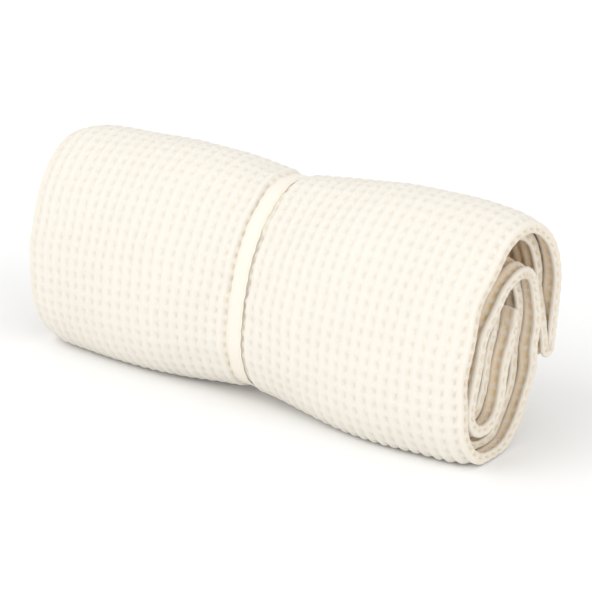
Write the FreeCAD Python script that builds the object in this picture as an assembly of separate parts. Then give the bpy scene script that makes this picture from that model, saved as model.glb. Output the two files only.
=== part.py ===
import FreeCAD, Part
import math
import os

# A cotton waffle throw, folded into a long pad, rolled up and held by one tape band.
# Millimetres. X runs along the roll, -Y is its front and +Z is up. The origin is on the
# floor, under the middle of the roll's box.

# The cloth: its finished size, how it is folded, and how thick it lies.
CLOTH_WIDTH = 1300.0
CLOTH_LENGTH = 1640.0
PANELS = 3
LAYER = 3.5
PAD = 2 * PANELS * LAYER
ROLL_LENGTH = CLOTH_WIDTH / PANELS
PAD_LENGTH = CLOTH_LENGTH / 2

# The roll's section: a tall oval that leans back and is flat where it rests.
HALF_HEIGHT = 104.0
HALF_DEPTH = 68.0
OVAL_POWER = 2.1
LEAN = math.radians(20.5)
REST_SINK = 8.0

# The spiral: a turn and a half on the oval, from the loose tail inwards, then a hairpin
# at the bottom and a straight tongue up the middle.
TURN_STEP = PAD + 3.0
STEP_START = 0.66
SPIRAL_TURNS = 1.5
TAIL_ANGLE = math.radians(3.0)
TAIL_FLARE = 6.0
TAIL_FLARE_TURNS = 0.13
HAIRPIN_DROP = 49.0
HAIRPIN_RADIUS = 16.5
PATH_STEP = 8.0
SPIRAL_PARTS = 1200
STRAIGHT_PARTS = 60
ROUND_END_PARTS = 6

# The waist that the band pulls in, how much smaller the roll gets towards each end, and the
# rounded rims at both ends.
WAIST_WIDE = 0.115
WAIST_WIDE_REACH = 78.0
WAIST_SHARP = 0.03
WAIST_SHARP_REACH = 22.0
LEFT_TAPER = 0.08
RIGHT_TAPER = 0.03
RIM_ROUND = 9.0
RIM_SHOULDER = 3.0
RIM_SHOULDER_SHARE = 0.8
RIM_TIP_SHARE = 0.4

# The tie band: flat cotton tape, sewn into a loop with a lap join at the back.
BAND_WIDTH = 14.0
BAND_THICK = 1.3
BAND_CLEAR = 0.6
BAND_POINTS = 120
LAP_LENGTH = 24.0
LAP_HEIGHT = 60.0
LAP_ROW_FROM_END = 4.0
LAP_ROW_STITCHES = 4
STITCH_LENGTH = 2.4
STITCH_GAP = 3.2

# Sewing thread, and how far from its edge a hem is sewn.
THREAD = 0.6
HEM = 13.0


def oval_radius(half_height, half_depth, angle):
    """Distance from the middle of the oval to its line, at an angle from the back."""
    across = abs(math.cos(angle) / half_depth) ** OVAL_POWER
    along = abs(math.sin(angle) / half_height) ** OVAL_POWER
    return (across + along) ** (-1 / OVAL_POWER)


def turns_inward(turns):
    """How many steps inward the spiral has come: it steps in on the way up the back."""
    whole = math.floor(turns)
    part = max(0.0, (turns - whole - STEP_START) / (1 - STEP_START))
    return whole + part * part * (3 - 2 * part)


def spiral_point(turns):
    """The pad's middle line on the oval, as depth and height from the roll's middle."""
    inset = PAD / 2 + TURN_STEP * turns_inward(turns)
    if turns < TAIL_FLARE_TURNS:
        inset -= TAIL_FLARE * (1 - turns / TAIL_FLARE_TURNS) ** 2
    angle = TAIL_ANGLE + 2 * math.pi * turns
    radius = oval_radius(HALF_HEIGHT - inset, HALF_DEPTH - inset, angle)
    return (radius * math.cos(angle), radius * math.sin(angle))


def pad_path():
    """Points along the pad's middle line, evenly spaced from the tail to the core."""
    fine = [spiral_point(SPIRAL_TURNS * i / SPIRAL_PARTS) for i in range(SPIRAL_PARTS + 1)]
    depth, height = fine[-1]
    fine += [(depth, height - HAIRPIN_DROP * i / STRAIGHT_PARTS) for i in range(1, STRAIGHT_PARTS + 1)]
    middle = (depth + HAIRPIN_RADIUS, height - HAIRPIN_DROP)
    for i in range(1, STRAIGHT_PARTS + 1):
        turn = math.pi * i / STRAIGHT_PARTS
        across = HAIRPIN_RADIUS * math.cos(turn)
        down = HAIRPIN_RADIUS * math.sin(turn)
        fine.append((middle[0] - across, middle[1] - down))
    length = [0.0]
    for a, b in zip(fine, fine[1:]):
        length.append(length[-1] + math.dist(a, b))
    tongue = PAD_LENGTH - length[-1]
    foot = fine[-1]
    for i in range(1, STRAIGHT_PARTS + 1):
        fine.append((foot[0], foot[1] + tongue * i / STRAIGHT_PARTS))
        length.append(length[-1] + tongue / STRAIGHT_PARTS)
    count = round(length[-1] / PATH_STEP)
    points = []
    k = 0
    for i in range(count + 1):
        want = min(length[-1] * i / count, length[-1] - 1e-6)
        while length[k + 1] < want:
            k += 1
        share = (want - length[k]) / (length[k + 1] - length[k])
        points.append(tuple(p + share * (q - p) for p, q in zip(fine[k], fine[k + 1])))
    return points


def normals(points, closed=False):
    """Unit normals of a line of points, on the side away from the roll's middle."""
    out = []
    for i in range(len(points)):
        a = points[i - 1] if i or closed else points[0]
        b = points[(i + 1) % len(points)] if i + 1 < len(points) or closed else points[-1]
        run = math.dist(a, b)
        out.append(((b[1] - a[1]) / run, -(b[0] - a[0]) / run))
    return out


def offset(points, by, closed=False):
    """A line of points moved out along its normals."""
    return [(p[0] + by * n[0], p[1] + by * n[1]) for p, n in zip(points, normals(points, closed))]


def waist(x):
    """The roll's size at a place along it, as a share of its full size."""
    wide = WAIST_WIDE * math.exp(-((x / WAIST_WIDE_REACH) ** 2))
    sharp = WAIST_SHARP * math.exp(-((x / WAIST_SHARP_REACH) ** 2))
    taper = (LEFT_TAPER if x < 0 else RIGHT_TAPER) * (abs(x) / (ROLL_LENGTH / 2)) ** 1.5
    return 1 - wide - sharp - taper


def leant(point, size=1.0):
    """A point of the section leant back, as depth and height from the roll's middle."""
    depth = point[0] * size
    height = point[1] * size
    back = depth * math.cos(LEAN) + height * math.sin(LEAN)
    up = height * math.cos(LEAN) - depth * math.sin(LEAN)
    return (back, up)


def round_end(inside, outside):
    """Points of the half round that closes the pad from one face to the other."""
    mid = ((inside[0] + outside[0]) / 2, (inside[1] + outside[1]) / 2)
    reach = (inside[0] - mid[0], inside[1] - mid[1])
    points = []
    for i in range(1, ROUND_END_PARTS):
        turn = math.pi * i / ROUND_END_PARTS
        depth = reach[0] * math.cos(turn) + reach[1] * math.sin(turn)
        height = reach[1] * math.cos(turn) - reach[0] * math.sin(turn)
        points.append((mid[0] + depth, mid[1] + height))
    return points


def pad_outline(path, thickness):
    """The pad's closed outline: its outer face, core end, inner face and tail end."""
    outside = offset(path, thickness / 2)
    inside = offset(path, -thickness / 2)
    core = round_end(outside[-1], inside[-1])
    tail = round_end(inside[0], outside[0])
    return outside + core + inside[::-1] + tail


def middle_place(path):
    """Where the roll's middle lies: its lowest turn is flattened by REST_SINK, its box centred."""
    sizes = [waist(x) for x in STATIONS]
    corners = [leant(p, size) for size in sizes for p in pad_outline(path, PAD)]
    depths = [d for d, h in corners]
    return (-(min(depths) + max(depths)) / 2, -min(h for d, h in corners) - REST_SINK)


END = ROLL_LENGTH / 2
HALF_STATIONS = [9, 22, 42, 72, 110, 155, END - RIM_ROUND, END - RIM_SHOULDER, END]
STATIONS = [-x for x in reversed(HALF_STATIONS)] + [0] + HALF_STATIONS
MIDDLE_LINE = pad_path()
MIDDLE_DEPTH, MIDDLE = middle_place(MIDDLE_LINE)


def place(point, x, size=1.0):
    """A point of the section, leant back and set at its place along the roll."""
    depth, height = leant(point, size)
    return FreeCAD.Vector(x, depth + MIDDLE_DEPTH, height + MIDDLE)


def ring(points, x, size=1.0):
    """A closed line through points of the section, at a place along the roll."""
    return Part.makePolygon([place(p, x, size) for p in points + points[:1]])


def rim_share(from_end):
    """The pad's thickness near an end of the roll, where its folds round over."""
    if from_end < 0.1:
        return RIM_TIP_SHARE
    return RIM_SHOULDER_SHARE if from_end < RIM_ROUND - 0.1 else 1.0


def make_cloth(path):
    """The rolled pad, with rounded rims and a flat face where it rests."""
    sections = []
    for x in STATIONS:
        sections.append(ring(pad_outline(path, PAD * rim_share(END - abs(x))), x, waist(x)))
    roll = Part.makeLoft(sections, True, True)
    reach = 2 * HALF_HEIGHT
    below = Part.makeBox(ROLL_LENGTH + 20, 2 * reach, reach, FreeCAD.Vector(-END - 10, -reach, -reach))
    return roll.cut(below)


def turn_of(a, b, c):
    """Positive where the way from a to b to c turns left."""
    return (b[0] - a[0]) * (c[1] - a[1]) - (b[1] - a[1]) * (c[0] - a[0])


def hull(points):
    """The tight loop round a set of points, anticlockwise."""
    ordered = sorted(points)
    sides = []
    for run in (ordered, ordered[::-1]):
        side = []
        for p in run:
            while len(side) > 1 and turn_of(side[-2], side[-1], p) <= 0:
                side.pop()
            side.append(p)
        sides += side[:-1]
    return sides


def band_path(path):
    """The loop that a taut band takes round the waist, as evenly spaced points."""
    size = waist(BAND_WIDTH / 2)
    loop = hull([(p[0] * size, p[1] * size) for p in pad_outline(path, PAD)])
    loop.append(loop[0])
    length = [0.0]
    for a, b in zip(loop, loop[1:]):
        length.append(length[-1] + math.dist(a, b))
    points = []
    k = 0
    for i in range(BAND_POINTS):
        want = length[-1] * i / BAND_POINTS
        while length[k + 1] < want:
            k += 1
        share = (want - length[k]) / (length[k + 1] - length[k])
        points.append(tuple(p + share * (q - p) for p, q in zip(loop[k], loop[k + 1])))
    return points


def band_disc(loop, out):
    """A plate as wide as the band, whose edge lies outside the waist by the given amount."""
    edge = ring(offset(loop, out, closed=True), -BAND_WIDTH / 2)
    return Part.Face(edge).extrude(FreeCAD.Vector(BAND_WIDTH, 0, 0))


def make_band(loop):
    """The tape loop, with the second thickness of its lap join at the back."""
    inner = band_disc(loop, BAND_CLEAR)
    middle = band_disc(loop, BAND_CLEAR + BAND_THICK)
    outer = band_disc(loop, BAND_CLEAR + 2 * BAND_THICK)
    corner = FreeCAD.Vector(-BAND_WIDTH, 0, MIDDLE + LAP_HEIGHT - LAP_LENGTH / 2)
    at_back = Part.makeBox(2 * BAND_WIDTH, 2 * HALF_DEPTH, LAP_LENGTH, corner)
    return outer.common(at_back).fuse(middle).removeSplitter().cut(inner)


def make_band_stitching(band):
    """Two rows of stitches across the tape that close its lap join."""
    stitches = []
    middle_stitch = (LAP_ROW_STITCHES - 1) / 2
    for row in (-1, 1):
        level = MIDDLE + LAP_HEIGHT + row * (LAP_LENGTH / 2 - LAP_ROW_FROM_END)
        probe = Part.makeLine(FreeCAD.Vector(0, 0, level), FreeCAD.Vector(0, 3 * HALF_DEPTH, level))
        face = max(v.Y for v in probe.common(band).Vertexes)
        for k in range(LAP_ROW_STITCHES):
            start = (k - middle_stitch) * STITCH_GAP - STITCH_LENGTH / 2
            corner = FreeCAD.Vector(start, face - THREAD, level - THREAD / 2)
            stitches.append(Part.makeBox(STITCH_LENGTH, 2 * THREAD, THREAD, corner))
    return Part.makeCompound(stitches)


def make_side_thread(path, x, out):
    """The thread of a side hem, which follows the pad round the roll near one end."""
    outside = offset(path, out + THREAD / 2)
    inside = offset(path, out - THREAD / 2)
    line = ring(outside + inside[::-1], x, waist(x))
    return Part.Face(line).extrude(FreeCAD.Vector(THREAD, 0, 0))


def make_end_thread(path, out):
    """The thread of an end hem, which runs along the roll inside its core."""
    middle = (path[-1][0] + out, path[-1][1] - HEM)
    corners = []
    for side, level in ((-1, -1), (1, -1), (1, 1), (-1, 1)):
        corners.append((middle[0] + side * THREAD / 2, middle[1] + level * THREAD / 2))
    stops = [x for x in STATIONS if abs(x) <= END - RIM_ROUND]
    return Part.makeLoft([ring(corners, x, waist(x)) for x in stops], True, True)


def save(shape, node):
    """Writes one piece and says how big it is."""
    shape.exportStep("parts/" + node + ".step")
    box = shape.BoundBox
    print(node, "solids", len(shape.Solids), "valid", shape.isValid(), "cm3", round(shape.Volume / 1000, 2))
    print("   x", round(box.XMin, 1), round(box.XMax, 1), "y", round(box.YMin, 1), round(box.YMax, 1))
    print("   z", round(box.ZMin, 1), round(box.ZMax, 1))


os.makedirs("parts", exist_ok=True)
waist_loop = band_path(MIDDLE_LINE)
cloth = make_cloth(MIDDLE_LINE)
tie_band = make_band(waist_loop)
side = END - HEM
save(cloth, "throw_cloth")
save(tie_band, "tie_band")
save(make_band_stitching(tie_band), "band_join_stitching")
save(make_side_thread(MIDDLE_LINE, -side, -LAYER / 2), "left_side_hem_stitching")
save(make_side_thread(MIDDLE_LINE, side, LAYER / 2), "right_side_hem_stitching")
save(make_end_thread(MIDDLE_LINE, -1.5 * LAYER), "first_end_hem_stitching")
save(make_end_thread(MIDDLE_LINE, 1.5 * LAYER), "second_end_hem_stitching")
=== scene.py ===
import math

import bpy
import numpy as np
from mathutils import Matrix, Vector


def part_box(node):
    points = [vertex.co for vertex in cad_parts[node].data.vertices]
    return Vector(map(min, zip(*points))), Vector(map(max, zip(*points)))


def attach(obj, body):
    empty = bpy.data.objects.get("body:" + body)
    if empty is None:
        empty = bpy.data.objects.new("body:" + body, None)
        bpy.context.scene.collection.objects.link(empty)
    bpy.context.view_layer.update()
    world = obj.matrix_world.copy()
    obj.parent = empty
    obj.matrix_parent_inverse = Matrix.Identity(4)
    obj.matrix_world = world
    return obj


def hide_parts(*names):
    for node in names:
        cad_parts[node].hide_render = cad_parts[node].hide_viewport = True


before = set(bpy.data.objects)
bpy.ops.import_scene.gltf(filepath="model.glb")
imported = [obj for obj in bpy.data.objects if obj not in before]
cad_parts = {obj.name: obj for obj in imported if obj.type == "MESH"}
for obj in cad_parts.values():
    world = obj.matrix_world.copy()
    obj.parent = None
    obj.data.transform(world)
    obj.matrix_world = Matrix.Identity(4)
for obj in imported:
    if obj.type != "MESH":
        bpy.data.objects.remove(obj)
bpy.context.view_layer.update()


# ------------------------------------------------------------------ the waffle cloth
# One sheet of undyed cotton in honeycomb weave, whose long floats stand up as ribs round
# sunken cells. It is hemmed all round, folded in three across its width and doubled along
# its length, and that pad of six layers is rolled up from its hemmed end.

# The line that the middle of the pad follows, seen from the end of the roll, in metres.
LAYER = 0.0035
PAD = 6 * LAYER
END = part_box("throw_cloth")[1][0]
HALF_HEIGHT = 0.104
HALF_DEPTH = 0.068
OVAL_POWER = 2.1
LEAN = math.radians(20.5)
REST_SINK = 0.008
TURN_STEP = PAD + 0.003
STEP_START = 0.66
SPIRAL_TURNS = 1.5
TAIL_ANGLE = math.radians(3)
TAIL_FLARE = 0.006
TAIL_FLARE_TURNS = 0.13
HAIRPIN_DROP = 0.049
HAIRPIN_RADIUS = 0.0165
PAD_LENGTH = 0.82
LINE_STEP = 0.0005
OVAL_STEPS = 3000
STRAIGHT_STEPS = 60
BEND_STEPS = 90
SMOOTH_REACH = 12


def spiral(turns):
    """Points of the spiral, as depth and height from the roll's middle."""
    whole = np.floor(turns)
    part = np.clip((turns - whole - STEP_START) / (1 - STEP_START), 0, 1)
    inset = PAD / 2 + TURN_STEP * (whole + part * part * (3 - 2 * part))
    inset -= TAIL_FLARE * np.clip(1 - turns / TAIL_FLARE_TURNS, 0, 1) ** 2
    angle = TAIL_ANGLE + 2 * math.pi * turns
    across = np.abs(np.cos(angle) / (HALF_DEPTH - inset)) ** OVAL_POWER
    along = np.abs(np.sin(angle) / (HALF_HEIGHT - inset)) ** OVAL_POWER
    radius = (across + along) ** (-1 / OVAL_POWER)
    return np.stack([radius * np.cos(angle), radius * np.sin(angle)], -1)


def arc_length(points):
    """How far along a line each of its points lies."""
    steps = np.linalg.norm(np.diff(points, axis=0), axis=1)
    return np.concatenate([[0], np.cumsum(steps)])


def along_line(points, length, places):
    """The points of a line at the given distances along it."""
    return np.stack([np.interp(places, length, points[:, k]) for k in range(points.shape[1])], -1)


def pad_line():
    """The pad's middle line from the tail to the core, its outward normals, and its turns."""
    oval = spiral(np.linspace(0, SPIRAL_TURNS, OVAL_STEPS))
    down = oval[-1] + np.outer(np.linspace(0, 1, STRAIGHT_STEPS)[1:], [0, -HAIRPIN_DROP])
    turn = np.linspace(0, math.pi, BEND_STEPS)[1:]
    bend = down[-1] + HAIRPIN_RADIUS * np.stack([1 - np.cos(turn), -np.sin(turn)], -1)
    start = np.concatenate([oval, down, bend])
    tongue = PAD_LENGTH - arc_length(start)[-1]
    up = start[-1] + np.outer(np.linspace(0, 1, STRAIGHT_STEPS)[1:], [0, tongue])
    line = np.concatenate([start, up])
    length = arc_length(line)
    even = along_line(line, length, np.arange(0, length[-1], LINE_STEP))
    before = 2 * even[0] - even[SMOOTH_REACH:0:-1]
    after = 2 * even[-1] - even[-2:-SMOOTH_REACH - 2:-1]
    padded = np.concatenate([before, even, after])
    weights = np.hanning(2 * SMOOTH_REACH + 1)
    weights /= weights.sum()
    even = np.stack([np.convolve(padded[:, k], weights, "valid") for k in (0, 1)], -1)
    heading = np.gradient(even, axis=0)
    heading /= np.linalg.norm(heading, axis=1)[:, None]
    turns = np.interp(arc_length(even), arc_length(oval), np.linspace(0, SPIRAL_TURNS, len(oval)))
    return even, np.stack([heading[:, 1], -heading[:, 0]], -1), turns


WAIST_WIDE = 0.115
WAIST_WIDE_REACH = 0.078
WAIST_SHARP = 0.03
WAIST_SHARP_REACH = 0.022
LEFT_TAPER = 0.08
RIGHT_TAPER = 0.03
TAPER_POWER = 1.5


def waist(x):
    """The roll's size along it, as a share of full size: the band pulls in the middle."""
    wide = WAIST_WIDE * np.exp(-((x / WAIST_WIDE_REACH) ** 2))
    sharp = WAIST_SHARP * np.exp(-((x / WAIST_SHARP_REACH) ** 2))
    taper = np.where(x < 0, LEFT_TAPER, RIGHT_TAPER) * np.abs(x / END) ** TAPER_POWER
    return 1 - wide - sharp - taper


LINE, OUTWARD, TURNS = pad_line()
LINE_LENGTH = arc_length(LINE)
LEAN_TURN = np.array([[math.cos(LEAN), -math.sin(LEAN)], [math.sin(LEAN), math.cos(LEAN)]])
outer_face = (LINE + OUTWARD * PAD / 2) @ LEAN_TURN
full_size = waist(np.linspace(-END, END, 200)).max()
MIDDLE_DEPTH = -(outer_face[:, 0].min() + outer_face[:, 0].max()) / 2 * full_size
MIDDLE_HEIGHT = -outer_face[:, 1].min() * full_size - REST_SINK

# The roll isn't quite regular: it leans less towards its left end, the band lifts its middle,
# the cloth under the band is dented and swells beside it, and both rims curl in.
LEFT_LEAN_LOSS = math.radians(11)
LEAN_LOSS_POWER = 1.5
MIDDLE_LIFT = 0.0032
MIDDLE_LIFT_PLACE = -0.02
MIDDLE_LIFT_REACH = 0.10
DENT = 0.022
DENT_REACH = 0.0085
SWELL = 0.012
SWELL_PLACE = 0.0155
SWELL_REACH = 0.008
RIM_CURL = 0.045
RIM_CURL_REACH = 0.024
RIGHT_FILL = 0.034
RIGHT_FILL_PLACE = 0.130
RIGHT_FILL_REACH = 0.060


def bell(value, middle, reach):
    """1 in the middle, falling smoothly to nothing past its reach on either side."""
    return np.exp(-(((value - middle) / reach) ** 2))


def girth(x):
    """The roll's size along it once the band has dented it and its rims have curled in."""
    curl = np.clip((np.abs(x) - (END - RIM_CURL_REACH)) / RIM_CURL_REACH, 0, 1.2) ** 2
    beside = bell(np.abs(x), SWELL_PLACE, SWELL_REACH)
    full = RIGHT_FILL * bell(x, RIGHT_FILL_PLACE, RIGHT_FILL_REACH)
    return waist(x) + full - DENT * bell(x, 0, DENT_REACH) + SWELL * beside - RIM_CURL * curl


def place(depth, height, x):
    """Points of the section, leant back and set at their places along the roll."""
    size = girth(x)
    lean = LEAN - LEFT_LEAN_LOSS * np.clip(-x / END, 0, 1.1) ** LEAN_LOSS_POWER
    y = (depth * np.cos(lean) + height * np.sin(lean)) * size + MIDDLE_DEPTH
    z = (height * np.cos(lean) - depth * np.sin(lean)) * size + MIDDLE_HEIGHT
    z = z + MIDDLE_LIFT * bell(x, MIDDLE_LIFT_PLACE, MIDDLE_LIFT_REACH)
    return np.stack(np.broadcast_arrays(x, y, z), -1)


def new_piece(name, points, faces):
    """A mesh object from arrays of points and faces, shaded smooth."""
    mesh = bpy.data.meshes.new(name)
    mesh.vertices.add(len(points))
    mesh.vertices.foreach_set("co", np.asarray(points, np.float32).ravel())
    corners = faces.shape[1]
    mesh.loops.add(faces.size)
    mesh.loops.foreach_set("vertex_index", faces.astype(np.int32).ravel())
    mesh.polygons.add(len(faces))
    mesh.polygons.foreach_set("loop_start", np.arange(0, faces.size, corners, dtype=np.int32))
    mesh.polygons.foreach_set("loop_total", np.full(len(faces), corners, dtype=np.int32))
    mesh.update(calc_edges=True)
    mesh.validate()
    mesh.shade_smooth()
    piece = bpy.data.objects.new(name, mesh)
    bpy.context.scene.collection.objects.link(piece)
    return piece


# The sheet: the size of its cells, the steps each is drawn in, and how far its ribs rise.
# The same face of the cloth shows all round the roll and inside its turns.
CELL_ALONG = 0.00952
CELL_ROUND = 0.0107
CELL_PARTS = 8
SHEET_LIFT = (0.5 * LAYER, 1.5 * LAYER, 2.5 * LAYER)
RELIEF = 0.0030
FREE_HEM_SHORT = 0.011
SLOW_WAVES = (0.11, 0.06, 0.033)


def soft_noise(a, b, seed):
    """Slow, smooth unevenness between about -1 and 1 over two directions, in metres."""
    draw = np.random.default_rng(seed)
    total = 0
    for k, middle_wave in enumerate(SLOW_WAVES):
        for _ in range(3):
            wave = middle_wave * draw.uniform(0.8, 1.3)
            way = draw.uniform(0, 2 * math.pi)
            phase = draw.uniform(0, 2 * math.pi)
            run = (a * math.cos(way) + b * math.sin(way)) / wave
            total = total + np.sin(2 * math.pi * run + phase) * 0.5 ** k
    return total / len(SLOW_WAVES)


def sheet_rows():
    """Where each row of the sheet runs: down strip A, round the tail fold and up strip B."""
    lift = SHEET_LIFT[2]
    outer = arc_length(LINE + OUTWARD * lift)
    inner = arc_length(LINE - OUTWARD * lift)
    fold = math.pi * lift
    step = CELL_ROUND / CELL_PARTS
    count = int((outer[-1] + fold + inner[-1]) / step / CELL_PARTS) * CELL_PARTS
    gone = np.arange(count + 1) * step
    on_outer = gone <= outer[-1]
    on_inner = gone >= outer[-1] + fold
    down_a = np.interp(outer[-1] - gone, outer, LINE_LENGTH)
    up_b = np.interp(gone - outer[-1] - fold, inner, LINE_LENGTH)
    place_line = np.where(on_inner, up_b, np.where(on_outer, down_a, 0))
    turn = np.clip((gone - outer[-1]) / fold, 0, 1) * math.pi
    return place_line, turn, gone


def sheet_columns():
    """Each column of the sheet: its place along the roll, how far it is lifted from the pad's
    middle, and how far across the sheet it lies, with where each panel and fold ends."""
    wide = (SHEET_LIFT[2] - SHEET_LIFT[0]) / 2
    tight = (SHEET_LIFT[2] - SHEET_LIFT[1]) / 2
    straight = 2 * END - wide - tight
    step = CELL_ALONG / CELL_PARTS
    lengths = [straight, math.pi * wide, straight, math.pi * tight, straight - FREE_HEM_SHORT]
    ends = np.cumsum(lengths)
    count = int(ends[-1] / step / CELL_PARTS) * CELL_PARTS
    gone = np.arange(count + 1) * step
    left, right = -END + tight, END - wide
    x = np.empty(count + 1)
    lift = np.empty(count + 1)
    for k, u in enumerate(gone):
        if u < ends[0]:
            x[k] = left + u
            lift[k] = SHEET_LIFT[0]
        elif u < ends[1]:
            a = (u - ends[0]) / wide
            x[k] = right + wide * math.sin(a)
            lift[k] = (SHEET_LIFT[0] + SHEET_LIFT[2]) / 2 - wide * math.cos(a)
        elif u < ends[2]:
            x[k] = right - (u - ends[1])
            lift[k] = SHEET_LIFT[2]
        elif u < ends[3]:
            a = (u - ends[2]) / tight
            x[k] = left - tight * math.sin(a)
            lift[k] = (SHEET_LIFT[2] + SHEET_LIFT[1]) / 2 + tight * math.cos(a)
        else:
            x[k] = left + (u - ends[3])
            lift[k] = SHEET_LIFT[1]
    return x, lift, gone, ends


ROW_LINE, ROW_TURN, ROW_GONE = sheet_rows()
COLUMN_X, COLUMN_LIFT, COLUMN_GONE, PANEL_ENDS = sheet_columns()

# Strip B is the half of the doubled cloth that lies on the inside.
STRIP_B = ROW_TURN > math.pi / 2
ROW_TURNS = np.interp(ROW_LINE, LINE_LENGTH, TURNS)

# How the turns stand out or fall in towards the right end, how the tongue in the core sways,
# and the pleats that the band gathers in the roll's girth.
TONGUE = 0.10
TONGUE_START = 0.03
TONGUE_SWAY = 0.009
SWAY_REACH = 0.05
RIGHT_SWAY_PLACE = 0.055
LEFT_SWAY_PLACE = -0.07
LEFT_SWAY_SHARE = 0.8
NEAR_END = 0.075
BULGE = 0.003
BULGE_TURN = 0.93
BULGE_REACH = 0.06
SAG = 0.013
SAG_TURN = 1.24
SAG_REACH = 0.13
FLARE = 0.002
FLARE_REACH = 0.05
PLEAT_DEPTH = 0.0007
PLEAT_REACH = 0.035
# Each set of pleats: its share, and the rate, start and slant of its waves round the roll.
PLEATS = ((1, 171, 0.6, 9), (0.7, 263, 2.1, -14))
TAPE_SMOOTHING = 0.75
TAPE_SMOOTHING_REACH = 0.008


def end_push(x):
    """How far the turns of each row stand out or fall in towards the right end of the roll.
    The second turn bulges out under the tail, and its top sags away from the first turn.
    The tongue in the core sways a little from side to side along the roll."""
    near = bell(np.maximum(END - x, 0), 0, NEAR_END)
    bulge = BULGE * bell(ROW_TURNS, BULGE_TURN, BULGE_REACH)
    sag = SAG * bell(ROW_TURNS, SAG_TURN, SAG_REACH)
    flare = FLARE * bell(ROW_TURNS, 0, FLARE_REACH)
    in_tongue = np.clip((ROW_LINE - LINE_LENGTH[-1] + TONGUE) / TONGUE_START, 0, 1)[:, None]
    right_sway = bell(x, RIGHT_SWAY_PLACE, SWAY_REACH)
    left_sway = LEFT_SWAY_SHARE * bell(x, LEFT_SWAY_PLACE, SWAY_REACH)
    sway = TONGUE_SWAY * (right_sway - left_sway)
    return (bulge - sag + flare)[:, None] * near + sway * in_tongue


def pleats(x):
    """Small folds along the roll, where the band gathers in its girth."""
    fade = np.exp(-np.abs(x) / PLEAT_REACH)
    along = ROW_LINE[:, None]
    wave = 0
    for share, round_roll, start, along_roll in PLEATS:
        wave = wave + share * np.sin(along * round_roll + start + x * along_roll)
    smoothed = 1 - TAPE_SMOOTHING * bell(x, 0, TAPE_SMOOTHING_REACH)
    return PLEAT_DEPTH * wave * fade * smoothed


# How the layers slip past one another, and how the floor presses the roll flat.
CORE_RECESS = 0.003
CORE_RECESS_START = 0.6
CORE_RECESS_RUN = 0.2
END_REACH = 0.0026
END_WAVER = 0.0014
STRIP_RECESS = 0.0105
TAIL_REACH = 0.05
GATHER = 0.09
GATHER_REACH = 0.05
SIDE_WAVER = 0.0013
LAYER_WAVER = 0.0010
FLOOR_SOFT = 0.0011
FLOOR_CLEAR = 0.7
FLATTEST = 0.3
OFF_FLOOR = 0.03
TIP_ROUND = 0.0085
TIP_REACH = 0.012


def sheet_points():
    """The whole sheet where it lies in the roll, before its weave stands up, and how far
    each point of it is pressed flat by the floor."""
    at = np.stack([np.interp(ROW_LINE, LINE_LENGTH, LINE[:, k]) for k in (0, 1)], -1)
    out = np.stack([np.interp(ROW_LINE, LINE_LENGTH, OUTWARD[:, k]) for k in (0, 1)], -1)
    tail = np.array([OUTWARD[0][1], -OUTWARD[0][0]])
    tail = tail if tail @ (LINE[0] - LINE[40]) > 0 else -tail
    way = out * np.cos(ROW_TURN)[:, None] + tail * np.sin(ROW_TURN)[:, None]
    to_core = (ROW_LINE - CORE_RECESS_START) / CORE_RECESS_RUN
    recess = CORE_RECESS * np.clip(to_core, 0, 1) - END_REACH
    recess = recess + END_WAVER * soft_noise(ROW_LINE, ROW_TURN * 0.02, 5)
    recess = recess + STRIP_RECESS * STRIP_B * np.clip(ROW_LINE / TAIL_REACH, 0, 1)
    gather = 1 - GATHER * bell(COLUMN_X, 0, GATHER_REACH)
    x = (COLUMN_X * gather)[None, :] * (1 - recess[:, None] / END)
    x = x + SIDE_WAVER * soft_noise(ROW_LINE[:, None] + 0.4, x, 23)
    signed = COLUMN_LIFT[None, :] * np.cos(ROW_TURN)[:, None]
    push = LAYER_WAVER * soft_noise(ROW_LINE[:, None], x, 11) + end_push(x) + pleats(x)
    inner = place(*((at - out * PAD / 2).T[:, :, None]), x)[..., 2]
    outer = place(*((at + out * PAD / 2).T[:, :, None]), x)[..., 2] + np.minimum(push, 0)
    rest = FLOOR_SOFT * (FLOOR_CLEAR + np.logaddexp(0, outer / FLOOR_SOFT - FLOOR_CLEAR))
    press = np.clip(1 - (rest - outer) / np.maximum(inner - outer, 0.004), FLATTEST, 1)
    away = np.clip(outer / OFF_FLOOR, 0, 1)
    shift = (press - 1) * (signed + PAD / 2) + push * away
    to_tip = np.exp(-(LINE_LENGTH[-1] - ROW_LINE) / TIP_REACH)[:, None]
    back = TIP_ROUND * (COLUMN_LIFT / SHEET_LIFT[2])[None, :] ** 2 * to_tip
    depth = at[:, :1] + way[:, :1] * COLUMN_LIFT + out[:, :1] * shift + out[:, 1:] * back
    height = at[:, 1:] + way[:, 1:] * COLUMN_LIFT + out[:, 1:] * shift - out[:, :1] * back
    return place(depth, height, x), press


# The weave: how much of a cell its cords and ridges take, and how they change at the rim,
# under the tape, in the hems and inside the roll.
CORD_WIDTH = 0.85
CORD_DIP = 0.10
RIDGE_WIDTH = 0.75
RIDGE_HEIGHT = 0.52
SLOPE = 0.60
CELL_FLOOR = 0.55
HEM_RISE = 0.35
UNDER_TAPE_LOSS = 0.55
UNDER_TAPE = 0.008
RIM_PUFF = 0.70
INNER_FLATTER = 0.3
RIM_OPEN = 0.28
RIM_OPEN_REACH = 0.008
HEM_TURN = 0.015
FOLD_MIDDLE = (PANEL_ENDS[0] + PANEL_ENDS[1]) / 2
WEAVE_START = 0.5 - (FOLD_MIDDLE / CELL_ALONG) % 1


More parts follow.
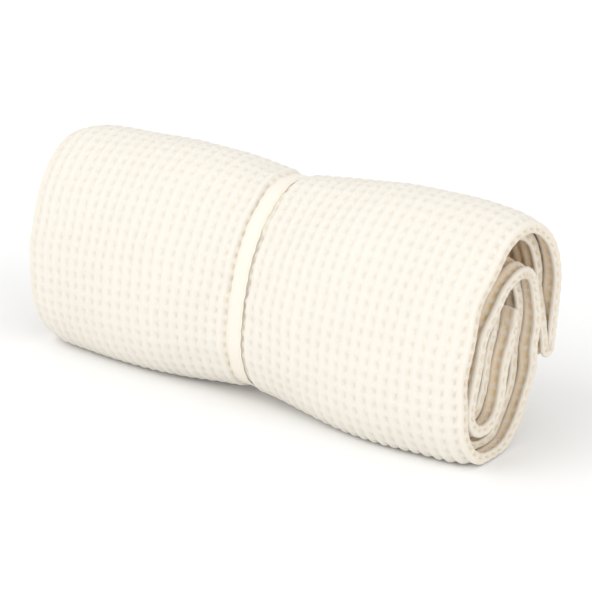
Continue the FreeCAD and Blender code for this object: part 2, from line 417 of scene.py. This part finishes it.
def weave_relief():
    """How far the weave stands up: round cords round the roll, lower ridges along it, and
    the sunk middles of the cells between them. Hems lie flatter."""
    across = 2 * np.abs((COLUMN_GONE / CELL_ALONG + WEAVE_START + 0.5) % 1 - 0.5)[None, :]
    along = 2 * np.abs((ROW_GONE / CELL_ROUND + 0.5) % 1 - 0.5)[:, None]
    at_rim = bell(COLUMN_GONE, FOLD_MIDDLE, RIM_OPEN_REACH)[None, :]
    cord_width = CORD_WIDTH * (1 - RIM_OPEN * at_rim)
    cord = np.maximum(0, 1 - (across / cord_width) ** 2) ** SLOPE * (1 - CORD_DIP * along)
    ridge = RIDGE_HEIGHT * np.maximum(0, 1 - (along / RIDGE_WIDTH) ** 2) ** SLOPE
    rise = np.maximum(cord, ridge) - CELL_FLOOR
    from_side = np.minimum(COLUMN_GONE, COLUMN_GONE[-1] - COLUMN_GONE)[None, :]
    from_end = np.minimum(ROW_GONE, ROW_GONE[-1] - ROW_GONE)[:, None]
    hem = np.clip((np.minimum(from_side, from_end) - HEM_TURN) / 0.004, 0, 1)
    under_band = 1 - UNDER_TAPE_LOSS * np.exp(-((COLUMN_X / UNDER_TAPE) ** 4))[None, :]
    inside = np.clip((SHEET_LIFT[2] - COLUMN_LIFT) / LAYER, 0, 1)[None, :]
    flatter = (HEM_RISE + (1 - HEM_RISE) * hem) * under_band * (1 - INNER_FLATTER * inside)
    return rise * flatter * (1 + RIM_PUFF * at_rim)


base, press = sheet_points()
down_sheet = np.gradient(base, axis=0)
across_sheet = np.gradient(base, axis=1)
facing = np.cross(across_sheet, down_sheet)
facing /= np.linalg.norm(facing, axis=2)[:, :, None]
# The cloth's good side looks out at the front of the roll.
FRONT_LINE = 0.2
FLOOR_GAP = 0.0002
middle_row = np.argmin(np.abs(ROW_LINE - FRONT_LINE) + ROW_TURN)
panel_middle = np.argmin(np.abs(COLUMN_GONE - (PANEL_ENDS[1] + PANEL_ENDS[2]) / 2))
if facing[middle_row, panel_middle, 1] > 0:
    facing = -facing
points = base + facing * (weave_relief() * RELIEF * press)[:, :, None]
points[..., 2] = np.maximum(points[..., 2], FLOOR_GAP)


# How far in from the ends, the folds and the tail the cells are drawn finely.
FOLD_DONE = 3.1
ROUND_SHOWN = 0.56
TAIL_SHOWN = 0.07
RIGHT_SHOWN = 0.065
RIGHT_INSIDE_SHOWN = 0.045
LEFT_SHOWN = 0.02
FOLD_CELLS = 4


def cell_parts(rows, columns):
    """How finely each cell is meshed: fully where it shows, and coarsely inside the roll."""
    line = ROW_LINE[::CELL_PARTS][:-1][:, None] + np.zeros(columns)
    strip_a = ROW_TURN[::CELL_PARTS][:-1][:, None] < FOLD_DONE
    gone = (np.arange(columns) * CELL_ALONG)[None, :] + np.zeros((rows, 1))
    after_fold = gone > PANEL_ENDS[0] - FOLD_CELLS * CELL_ALONG
    outer_panel = after_fold & (gone < PANEL_ENDS[3] + CELL_ALONG)
    x = COLUMN_X[::CELL_PARTS][:-1][None, :] + np.zeros((rows, 1))
    parts = np.full((rows, columns), 1)
    parts[outer_panel & strip_a & (line < ROUND_SHOWN)] = CELL_PARTS
    parts[outer_panel & (line < TAIL_SHOWN)] = CELL_PARTS
    parts[x > END - RIGHT_INSIDE_SHOWN] = CELL_PARTS // 2
    parts[outer_panel & (x > END - RIGHT_SHOWN)] = CELL_PARTS
    parts[outer_panel & (x < -END + LEFT_SHOWN)] = CELL_PARTS
    return parts


def cell_faces(parts, width):
    """Quads of every cell, as rows and columns of the full grid."""
    quads = []
    for n in np.unique(parts):
        row, column = np.nonzero(parts == n)
        stride = CELL_PARTS // n
        inner = np.arange(n) * stride
        r = (row[:, None, None] * CELL_PARTS + inner[None, :, None]) + np.zeros((1, 1, n), int)
        c = (column[:, None, None] * CELL_PARTS + inner[None, None, :]) + np.zeros((1, n, 1), int)
        a = r * width + c
        quad = np.stack([a, a + stride, a + stride * width + stride, a + stride * width], -1)
        quads.append(quad.reshape(-1, 4))
    return np.concatenate(quads)


HEM_ROLL = 0.0007
HEM_ROLL_STEPS = 6


def turned_edge(edge, way, up):
    """A hemmed edge: the cloth rolls under and runs back beneath itself."""
    rows = []
    for k in range(HEM_ROLL_STEPS + 1):
        a = math.pi * k / HEM_ROLL_STEPS
        rows.append(edge + way * math.sin(a) * HEM_ROLL - up * (1 - math.cos(a)) * HEM_ROLL)
    for share in (0.4, 1):
        rows.append(rows[HEM_ROLL_STEPS] - way * share * HEM_TURN)
    return np.stack(rows, 1)


def strip_quads(rows, columns, first):
    """Quads of a grid whose points follow one another from a given index."""
    a = first + np.arange(rows - 1)[:, None] * columns + np.arange(columns - 1)[None, :]
    return np.stack([a, a + 1, a + columns + 1, a + columns], -1).reshape(-1, 4)


grid_rows, grid_columns = points.shape[:2]
parts = cell_parts((grid_rows - 1) // CELL_PARTS, (grid_columns - 1) // CELL_PARTS)
quads = cell_faces(parts, grid_columns)
used, quads = np.unique(quads, return_inverse=True)
cloth_points = [points.reshape(-1, 3)[used]]
cloth_quads = [quads.reshape(-1, 4)]
for edge, inside, up in (
    (points[::2, 0], base[::2, 1] - base[::2, 0], facing[::2, 0]),
    (points[::2, -1], base[::2, -2] - base[::2, -1], facing[::2, -1]),
    (points[0, ::2], base[1, ::2] - base[0, ::2], facing[0, ::2]),
    (points[-1, ::2], base[-2, ::2] - base[-1, ::2], facing[-1, ::2]),
):
    outwards = -inside / np.linalg.norm(inside, axis=1)[:, None]
    turned = turned_edge(edge, outwards, up)
    cloth_quads.append(strip_quads(*turned.shape[:2], sum(map(len, cloth_points))))
    cloth_points.append(turned.reshape(-1, 3))
cloth = new_piece("waffle_cloth", np.concatenate(cloth_points), np.concatenate(cloth_quads))

# Where each point lies in the weave, in cells, and how much painted shade it takes. Painted
# warm shade darkens the cloth inside the roll and its end faces; a painted shadow edges the tape.
TAPE_EDGE = 0.0085
TAPE_EDGE_REACH = 0.0028
TAPE_EDGE_PAINTED_SHADOW = 0.07
END_FACE_PAINTED_SHADE = 0.18
# The turned hems take a fixed place in the weave and half of the full painted shade.
HEM_PLACE_AND_SHADE = (0, 0.2, 0.5)
LEAST_PAINTED_SHADE = 0.08
SECOND_TURN = 0.86
SECOND_TURN_RUN = 0.12
PAINTED_SHADE_FROM_RIM = 0.002
PAINTED_SHADE_RUN = 0.014
STRIP_B_PAINTED_SHADE = 0.14
STRIP_B_RUN = 0.03
END_FACE = 0.006
END_FACE_RUN = 0.004
rim_place = np.abs(base[..., 0]).max(1)[:, None]
in_roll = np.clip((ROW_TURNS - SECOND_TURN) / SECOND_TURN_RUN, 0, 1)
hidden = np.where(STRIP_B, 1, in_roll)[:, None]
inner_panel = np.clip(2.6 - COLUMN_LIFT / (0.9 * LAYER), 0, 1)[None, :]
hidden = np.maximum(hidden, inner_panel)
from_rim = rim_place - np.abs(base[..., 0])
from_rim_share = np.clip((from_rim - PAINTED_SHADE_FROM_RIM) / PAINTED_SHADE_RUN, 0, 1)
# Painted shade: the hidden turns and inner panels darken more the further they lie from the rims.
painted_shade = hidden * (LEAST_PAINTED_SHADE + (1 - LEAST_PAINTED_SHADE) * from_rim_share)
# Strip B, on the inside of the doubled cloth, takes more painted shade.
in_strip_b = STRIP_B[:, None] * np.clip(ROW_LINE / STRIP_B_RUN, 0, 1)[:, None]
painted_shade = painted_shade + STRIP_B_PAINTED_SHADE * in_strip_b
# Painted shade on the end faces of the roll.
end_face = np.clip((END_FACE - from_rim) / END_FACE_RUN, 0, 1)
painted_shade = np.maximum(painted_shade, END_FACE_PAINTED_SHADE * end_face)
# A painted shadow along both edges of the tape.
painted_shade = painted_shade + TAPE_EDGE_PAINTED_SHADOW * bell(np.abs(base[..., 0]), TAPE_EDGE, TAPE_EDGE_REACH)
cells_across = COLUMN_GONE / CELL_ALONG + WEAVE_START
cell_place = np.stack(np.meshgrid(cells_across, ROW_GONE / CELL_ROUND), -1)
placed = np.concatenate([cell_place, np.clip(painted_shade, 0, 1)[..., None]], -1)
hems_placed = np.tile(HEM_PLACE_AND_SHADE, (len(cloth.data.vertices) - len(used), 1))
placed = np.concatenate([placed.reshape(-1, 3)[used], hems_placed])
weave = cloth.data.attributes.new("cell_place", "FLOAT_VECTOR", "POINT")
weave.data.foreach_set("vector", placed.astype(np.float32).ravel())


class Shade:
    """A shader value. A sum of values adds its Math nodes, and `node` adds any other node."""

    def __init__(self, tree, socket):
        self.tree = tree
        self.socket = socket

    @classmethod
    def node(cls, tree, kind, settings=None, inputs=None, output=0):
        """One node: its settings are made first, then its sockets are filled or linked."""
        node = tree.nodes.new(kind)
        for key, value in (settings or {}).items():
            setattr(node, key, value)
        for key, value in (inputs or {}).items():
            if isinstance(value, cls):
                tree.links.new(value.socket, node.inputs[key])
            else:
                node.inputs[key].default_value = value
        return cls(tree, node.outputs[output])

    def maths(self, operation, *others):
        """One Math node that takes this value and any others."""
        inputs = dict(enumerate((self, *others)))
        return Shade.node(self.tree, "ShaderNodeMath", {"operation": operation}, inputs)

    def __add__(self, other):
        return self.maths("ADD", other)

    __radd__ = __add__

    def __sub__(self, other):
        return self.maths("SUBTRACT", other)

    def __rsub__(self, other):
        return self * -1 + other

    def __mul__(self, other):
        return self.maths("MULTIPLY", other)

    __rmul__ = __mul__


def new_material(name):
    """An empty material with its tree and its Principled shader."""
    material = bpy.data.materials.new(name)
    material.use_nodes = True
    tree = material.node_tree
    shader = next(n for n in tree.nodes if n.type == "BSDF_PRINCIPLED")
    return material, tree, shader


# The cloth's cream, the painted shade of its cells with some tone, and the painted warm shade of
# the roll's sheltered parts.
RIB_CREAM = (0.90, 0.868, 0.80, 1)
CELL_SHADE_AND_TONE = (0.79, 0.68, 0.50, 1)
PAINTED_SHADE_TAN = (0.86, 0.59, 0.30, 1)
YARN_STEPS = 5
TWISTS_IN_CELL = 9


def waffle_material():
    """Cream cotton: soft matt yarn, laid in steps down each cell, and painted warm shade in its
    depths.
    """
    material, tree, shader = new_material("waffle_cotton")
    at = Shade.node(tree, "ShaderNodeAttribute", {"attribute_name": "cell_place"}, output="Vector")
    u, v, painted_shade_amount = (Shade.node(tree, "ShaderNodeSeparateXYZ", {}, {0: at}, k) for k in range(3))
    across = u.maths("PINGPONG", 0.5) * 2
    along = v.maths("PINGPONG", 0.5) * 2
    deep = across.maths("MINIMUM", along + 0.12)
    yarn = (deep * (YARN_STEPS * math.pi)).maths("SINE").maths("ABSOLUTE")
    twist = ((u + v) * (2 * math.pi * TWISTS_IN_CELL)).maths("SINE")
    fuzz = Shade.node(tree, "ShaderNodeTexNoise", {}, {"Vector": at, "Scale": 24.0, "Detail": 3.0})
    height = yarn * 0.7 + twist * 0.16 + fuzz * 0.5
    relief = {"Strength": 0.8, "Distance": 0.00036, "Height": height}
    bump = Shade.node(tree, "ShaderNodeBump", {}, relief)
    tree.links.new(bump.socket, shader.inputs["Normal"])
    slow = Shade.node(tree, "ShaderNodeTexNoise", {}, {"Vector": at, "Scale": 0.35, "Detail": 2.0})
    # Painted shade: the middles of the cells darken, more where the roll hides them, and the
    # grooves between yarn steps a little; slow noise varies the tone.
    pit_shade_strength = (painted_shade_amount * 6).maths("MINIMUM", 1.0) * 0.95 + 0.12
    shade = deep * deep * pit_shade_strength + (1 - yarn) * 0.1 + slow * 0.1 + fuzz * 0.08
    tint = Shade.node(
        tree, "ShaderNodeMix", {"data_type": "RGBA"},
        {0: shade.maths("MINIMUM", 1.0), 6: RIB_CREAM, 7: CELL_SHADE_AND_TONE}, 2,
    )
    # Painted warm shade, deepest in the cells, inside the roll, on its end faces and beside the
    # tape.
    painted_warm_shade = Shade.node(
        tree, "ShaderNodeMix", {"data_type": "RGBA"},
        {0: painted_shade_amount * (deep * deep * 0.60 + 0.38), 6: tint, 7: PAINTED_SHADE_TAN}, 2,
    )
    tree.links.new(painted_warm_shade.socket, shader.inputs["Base Color"])
    shader.inputs["Roughness"].default_value = 0.92
    shader.inputs["Sheen Weight"].default_value = 0.25
    shader.inputs["Specular IOR Level"].default_value = 0.2
    return material


cloth.data.materials.append(waffle_material())
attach(cloth, "throw")
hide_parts("throw_cloth")


# ------------------------------------------------------------------ the hem stitching
# Each of the cloth's four edges is turned under twice and sewn down with one row of cotton
# lockstitch, 13 mm from the edge. The side rows run round the roll near its two ends, and
# the end rows lie in its core.
HEM_LINE = 0.013
STITCH_PITCH = 0.0033
STITCH_LENGTH = 0.0024
STITCH_SECTIONS = ((-0.5, 0.4), (-0.28, 1), (0.28, 1), (0.5, 0.4))
THREAD = 0.0007
THREAD_ROUND = 0.36
THREAD_ABOVE_CLOTH = 0.0006


def sew(name, spots, ways, ups):
    """A row of stitches, one rounded strand for each spot, as one piece."""
    sides = np.cross(ups, ways)
    rings = []
    for share, size in STITCH_SECTIONS:
        for a, b in ((1, 1), (-1, 1), (-1, -1), (1, -1)):
            corner = (sides * a + ups * b) * size * THREAD * THREAD_ROUND
            ring = spots + ways * share * STITCH_LENGTH + corner
            rings.append(ring - ups * (1 - size) * THREAD * 0.5)
    corners = np.stack(rings, 1).reshape(-1, 3)
    faces = [(0, 1, 2, 3), (15, 14, 13, 12)]
    for ring in (0, 4, 8):
        for k in range(4):
            faces.append((ring + k, ring + 4 + k, ring + 4 + (k + 1) % 4, ring + (k + 1) % 4))
    start = np.arange(len(spots))[:, None, None] * 16
    return new_piece(name, corners, (np.array(faces)[None] + start).reshape(-1, 4))


def unit(vectors):
    """The same directions, each one long."""
    return vectors / np.linalg.norm(vectors, axis=-1)[..., None]


def sew_hem(name, line, up):
    """One row of hem stitches along a line on the cloth."""
    gone = arc_length(line)
    places = np.arange(STITCH_PITCH, gone[-1] - STITCH_PITCH, STITCH_PITCH)
    spots = along_line(line, gone, places)
    ways = unit(along_line(line, gone, places + 0.0008) - spots)
    ups = along_line(up, gone, places)
    ups = unit(ups - ways * (ups * ways).sum(-1)[:, None])
    return sew(name, spots + ups * THREAD_ABOVE_CLOTH, ways, ups)


THREAD_SHADE = (0.86, 0.82, 0.73, 1)
THREAD_LIGHT = (0.95, 0.93, 0.88, 1)


def thread_material():
    """Matt cotton sewing thread, a little whiter than the cloth, with its ply showing."""
    material, tree, shader = new_material("sewing_thread")
    at = Shade.node(tree, "ShaderNodeTexCoord", {}, {}, "Object")
    ply = Shade.node(tree, "ShaderNodeTexNoise", {}, {"Vector": at, "Scale": 2600.0, "Detail": 1.0})
    tint = Shade.node(
        tree, "ShaderNodeMix", {"data_type": "RGBA"},
        {0: ply, 6: THREAD_SHADE, 7: THREAD_LIGHT}, 2,
    )
    relief = {"Strength": 0.6, "Distance": 0.0002, "Height": ply}
    bump = Shade.node(tree, "ShaderNodeBump", {}, relief)
    tree.links.new(tint.socket, shader.inputs["Base Color"])
    tree.links.new(bump.socket, shader.inputs["Normal"])
    shader.inputs["Roughness"].default_value = 0.7
    return material


THREAD_FINISH = thread_material()
side = round(HEM_LINE / CELL_ALONG * CELL_PARTS)
end = round(HEM_LINE / CELL_ROUND * CELL_PARTS)
for node, line, up in (
    ("left_side_hem_stitching", base[:, side], facing[:, side]),
    ("right_side_hem_stitching", base[:, -side], facing[:, -side]),
    ("first_end_hem_stitching", base[end], facing[end]),
    ("second_end_hem_stitching", base[-end], facing[-end]),
):
    hem = sew_hem(node.replace("stitching", "stitches"), line, up)
    hem.data.materials.append(THREAD_FINISH)
    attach(hem, "throw")
    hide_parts(node)


# ------------------------------------------------------------------ the tie band
# One length of smooth, plain woven cotton tape, pulled tight round the middle of the roll
# and sewn to itself in a short lap at the back. It slides off either end of the roll.
TAPE_WIDTH = 0.014
TAPE_THICK = 0.0011
TAPE_LAP = 0.024
TAPE_STEP = 0.0015
LAP_ABOVE_MIDDLE = 0.060
TAPE_CORNERS = 28
TAPE_SQUARENESS = 0.4
TAPE_TILT = 0.0013
TAPE_SEAT = 0.006
SEAT_TURNS = 1.02
SMOOTH_STEPS = 4
LAP_SLOPE = 0.004
EDGE_BEAD = 0.3
EDGE_WAVER = 0.0003
EDGE_WAVER_RATE = 540


def turns_right(a, b, c):
    """Whether the way from a to b to c turns right, or not at all."""
    return np.cross(np.subtract(b, a), np.subtract(c, b)) <= 0


def taut_loop(spots):
    """The tight convex loop round points in the section, at even steps."""
    ordered = sorted(map(tuple, spots))
    loop = []
    for run in (ordered, ordered[::-1]):
        part = []
        for p in run:
            while len(part) > 1 and turns_right(part[-2], part[-1], p):
                part.pop()
            part.append(p)
        loop += part[:-1]
    loop = np.array(loop + loop[:1])
    gone = arc_length(loop)
    count = round(gone[-1] / TAPE_STEP)
    even = along_line(loop, gone, np.arange(count) * gone[-1] / count)
    weights = np.hanning(2 * SMOOTH_STEPS + 1)
    weights /= weights.sum()
    wrapped = np.concatenate([even[-SMOOTH_STEPS:], even, even[:SMOOTH_STEPS]])
    return np.stack([np.convolve(wrapped[:, k], weights, "valid") for k in (0, 1)], -1)


seat_rows = (ROW_TURN == 0) & (ROW_TURNS < SEAT_TURNS)
seat_panel = (COLUMN_GONE > PANEL_ENDS[1]) & (COLUMN_GONE < PANEL_ENDS[2])
seat_columns = seat_panel & (np.abs(COLUMN_X) < TAPE_SEAT)
seat = points[np.ix_(seat_rows, seat_columns)].reshape(-1, 3)[:, 1:]
loop = taut_loop(seat)
middle = loop.mean(0)
back_of_loop = np.where(loop[:, 0] > middle[0], loop[:, 1], 9)
lap_middle = np.argmin(np.abs(back_of_loop - MIDDLE_HEIGHT - LAP_ABOVE_MIDDLE))
lap_steps = round(TAPE_LAP / TAPE_STEP)
order = (np.arange(len(loop) + lap_steps + 1) + lap_middle - lap_steps // 2) % len(loop)
run = loop[order]
ahead = unit(loop[(order + 1) % len(loop)] - loop[order - 1])
outward = np.stack([ahead[:, 1], -ahead[:, 0]], -1)
gone = np.arange(len(run)) * TAPE_STEP
over = gone - gone[-1] + TAPE_LAP
rise = TAPE_THICK * (0.55 + np.clip(over / LAP_SLOPE + 1, 0, 1) ** 2 * 1.04)
bearing = np.arctan2(run[:, 1] - middle[1], run[:, 0] - middle[0])
turn = np.linspace(0, 2 * math.pi, TAPE_CORNERS, endpoint=False)
wide = np.sign(np.cos(turn)) * np.abs(np.cos(turn)) ** TAPE_SQUARENESS
thick = np.sign(np.sin(turn)) * np.abs(np.sin(turn)) ** TAPE_SQUARENESS
thick = thick * (1 + EDGE_BEAD * np.abs(wide) ** 8)
tilt = -np.sin(bearing) * (run[:, 0] < middle[0])
lift = TAPE_TILT * np.maximum(0, tilt[:, None] * wide[None, :]) ** 2
waver = EDGE_WAVER * np.sin(gone * EDGE_WAVER_RATE + 1)[:, None] * np.abs(wide[None, :])
x = TAPE_WIDTH / 2 * wide[None, :] + waver
away = rise[:, None] + thick[None, :] * TAPE_THICK / 2 + lift
tape_y = run[:, :1] + outward[:, :1] * away
tape_z = run[:, 1:] + outward[:, 1:] * away
tape_points = np.stack([x, tape_y, tape_z], -1)
steps, ring = tape_points.shape[:2]
a = np.arange(steps - 1)[:, None] * ring + np.arange(ring)[None, :]
b = np.arange(steps - 1)[:, None] * ring + (np.arange(ring)[None, :] + 1) % ring
tape_quads = np.stack([a, b, b + ring, a + ring], -1).reshape(-1, 4)
half = ring // 2
caps = []
for first in (0, (steps - 1) * ring):
    for k in range(half - 1):
        cap = [k, k + 1, (ring - k - 2) % ring, (ring - k - 1) % ring]
        cap = [first + corner for corner in cap]
        caps.append(cap if first else cap[::-1])
tape_quads = np.concatenate([tape_quads, np.array(caps)])
band = new_piece("cotton_tape_band", tape_points.reshape(-1, 3), tape_quads)
tape_place = np.broadcast_arrays(wide[None, :] * TAPE_WIDTH / 2, gone[:, None], thick[None, :])
tape_place = np.stack(tape_place, -1)
laid = band.data.attributes.new("tape_place", "FLOAT_VECTOR", "POINT")
laid.data.foreach_set("vector", (tape_place.reshape(-1, 3) * 1000).astype(np.float32).ravel())


# The weave's pitches, and where its grooves and sides lie from its middle, in millimetres.
TAPE_CREAM = (0.885, 0.842, 0.765, 1)
TAPE_SHADE = (0.80, 0.70, 0.55, 1)
TAPE_END_PITCH = 0.45
TAPE_PICK_PITCH = 0.6
GROOVE_PLACE = 5.2
GROOVE_SHARPNESS = 2.2
TAPE_SIDE = 7
SELVEDGE_SHARPNESS = 10.0


def tape_material():
    """Smooth cotton tape: a fine plain weave of close ends, with firmer, darker selvedges and
    painted shade in its grooves and weave.
    """
    material, tree, shader = new_material("cotton_tape")
    at = Shade.node(tree, "ShaderNodeAttribute", {"attribute_name": "tape_place"}, output="Vector")
    across, along, _ = (Shade.node(tree, "ShaderNodeSeparateXYZ", {}, {0: at}, k) for k in range(3))
    ends = (across * (math.pi / TAPE_END_PITCH)).maths("SINE")
    picks = (along * (math.pi / TAPE_PICK_PITCH)).maths("SINE")
    weave = ends * picks
    fuzz = Shade.node(tree, "ShaderNodeTexNoise", {}, {"Vector": at, "Scale": 2.2, "Detail": 3.0})
    from_middle = across.maths("ABSOLUTE")
    selvedge = (from_middle * (1 / TAPE_SIDE)).maths("POWER", SELVEDGE_SHARPNESS)
    from_groove = (from_middle - GROOVE_PLACE).maths("ABSOLUTE")
    groove = 1 - (from_groove * GROOVE_SHARPNESS).maths("MINIMUM", 1.0)
    height = weave * 0.5 + ends * 0.25 + fuzz * 0.5 + selvedge - groove * 0.9
    relief = {"Strength": 0.7, "Distance": 0.00015, "Height": height}
    bump = Shade.node(tree, "ShaderNodeBump", {}, relief)
    tree.links.new(bump.socket, shader.inputs["Normal"])
    # Painted shade in the tape's grooves and between the raised crossings of its weave, darker
    # selvedges, and tone that varies at random.
    tape_shade_and_tone = (weave * -0.25 + fuzz * 0.4 + selvedge * 0.3 + groove * 0.45).maths("MAXIMUM", 0.0)
    tint = Shade.node(
        tree, "ShaderNodeMix", {"data_type": "RGBA"}, {0: tape_shade_and_tone, 6: TAPE_CREAM, 7: TAPE_SHADE}, 2,
    )
    tree.links.new(tint.socket, shader.inputs["Base Color"])
    shader.inputs["Roughness"].default_value = 0.75
    shader.inputs["Sheen Weight"].default_value = 0.15
    return material


band.data.materials.append(tape_material())
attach(band, "band")
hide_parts("tie_band")


# ------------------------------------------------------------------ the lap stitching
# The tape's lap is closed by two short rows of cotton lockstitch across the tape, 4 mm in
# from either end of the lap.
LAP_ROW_FROM_END = 0.004
LAP_STITCH_PITCH = 0.0032
THREAD_ABOVE_TAPE = 0.0001
lap_spots = []
lap_ups = []
for from_end in (LAP_ROW_FROM_END, TAPE_LAP - LAP_ROW_FROM_END):
    row = len(run) - 1 - round(from_end / TAPE_STEP)
    up = np.array([0, *outward[row]])
    top = np.array([0, *run[row]]) + up * (rise[row] + TAPE_THICK / 2 + THREAD_ABOVE_TAPE)
    for k in (-1.5, -0.5, 0.5, 1.5):
        lap_spots.append(top + np.array([k * LAP_STITCH_PITCH, 0, 0]))
        lap_ups.append(up)
lap_ways = np.tile([1.0, 0, 0], (len(lap_spots), 1))
lap = sew("band_join_stitches", np.array(lap_spots), lap_ways, np.array(lap_ups))
lap.data.materials.append(THREAD_FINISH)
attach(lap, "band")
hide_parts("band_join_stitching")


# ------------------------------------------------------------------ floor, light and camera
# A plain white sweep, soft even daylight with a broad key from the front and left, a weaker
# fill from the right, and a long lens.
FLOOR_SIZE = 40
FLOOR_WHITE = (0.93, 0.93, 0.93, 1)
DAYLIGHT = 0.85
KEY_FROM = Vector((-0.42, -0.70, 0.68))
KEY_STRENGTH = 0.95
FILL_FROM = Vector((0.90, -0.30, 0.42))
FILL_STRENGTH = 0.66
LIGHT_SPREAD = math.radians(50)
CAMERA_AZIMUTH = math.radians(37.0)
CAMERA_ELEVATION = math.radians(20.74)
CAMERA_DISTANCE = 2.2025
LENS = 166.3
AIM = Vector((0, 0, 0.075))
AIM_RIGHT = 0.0113
AIM_UP = 0.0023

scene = bpy.context.scene
floor_signs = ((-1, -1), (1, -1), (1, 1), (-1, 1))
floor_corners = [(a * FLOOR_SIZE, b * FLOOR_SIZE, 0) for a, b in floor_signs]
floor = new_piece("floor", floor_corners, np.array([[0, 1, 2, 3]]))
paper, _, shader = new_material("floor_paper")
shader.inputs["Base Color"].default_value = FLOOR_WHITE
shader.inputs["Roughness"].default_value = 0.95
shader.inputs["Specular IOR Level"].default_value = 0.0
floor.data.materials.append(paper)

world = bpy.data.worlds.new("daylight")
world.use_nodes = True
world.node_tree.nodes["Background"].inputs["Color"].default_value = (1, 1, 1, 1)
world.node_tree.nodes["Background"].inputs["Strength"].default_value = DAYLIGHT
scene.world = world
for name, source, strength in (("key", KEY_FROM, KEY_STRENGTH), ("fill", FILL_FROM, FILL_STRENGTH)):
    lamp = bpy.data.objects.new(name, bpy.data.lights.new(name, "SUN"))
    lamp.data.energy = strength
    lamp.data.angle = LIGHT_SPREAD
    lamp.rotation_euler = source.to_track_quat("Z", "Y").to_euler()
    scene.collection.objects.link(lamp)

level = math.cos(CAMERA_ELEVATION)
back = Vector((
    math.sin(CAMERA_AZIMUTH) * level,
    -math.cos(CAMERA_AZIMUTH) * level,
    math.sin(CAMERA_ELEVATION),
))
right = Vector((math.cos(CAMERA_AZIMUTH), math.sin(CAMERA_AZIMUTH), 0))
camera = bpy.data.objects.new("camera", bpy.data.cameras.new("camera"))
camera.location = AIM + back * CAMERA_DISTANCE
look_at = AIM + right * AIM_RIGHT + back.cross(right) * AIM_UP
camera.rotation_euler = (look_at - camera.location).to_track_quat("-Z", "Y").to_euler()
camera.data.lens = LENS
camera.data.clip_end = 60
scene.collection.objects.link(camera)
scene.camera = camera
scene.view_settings.view_transform = "Standard"
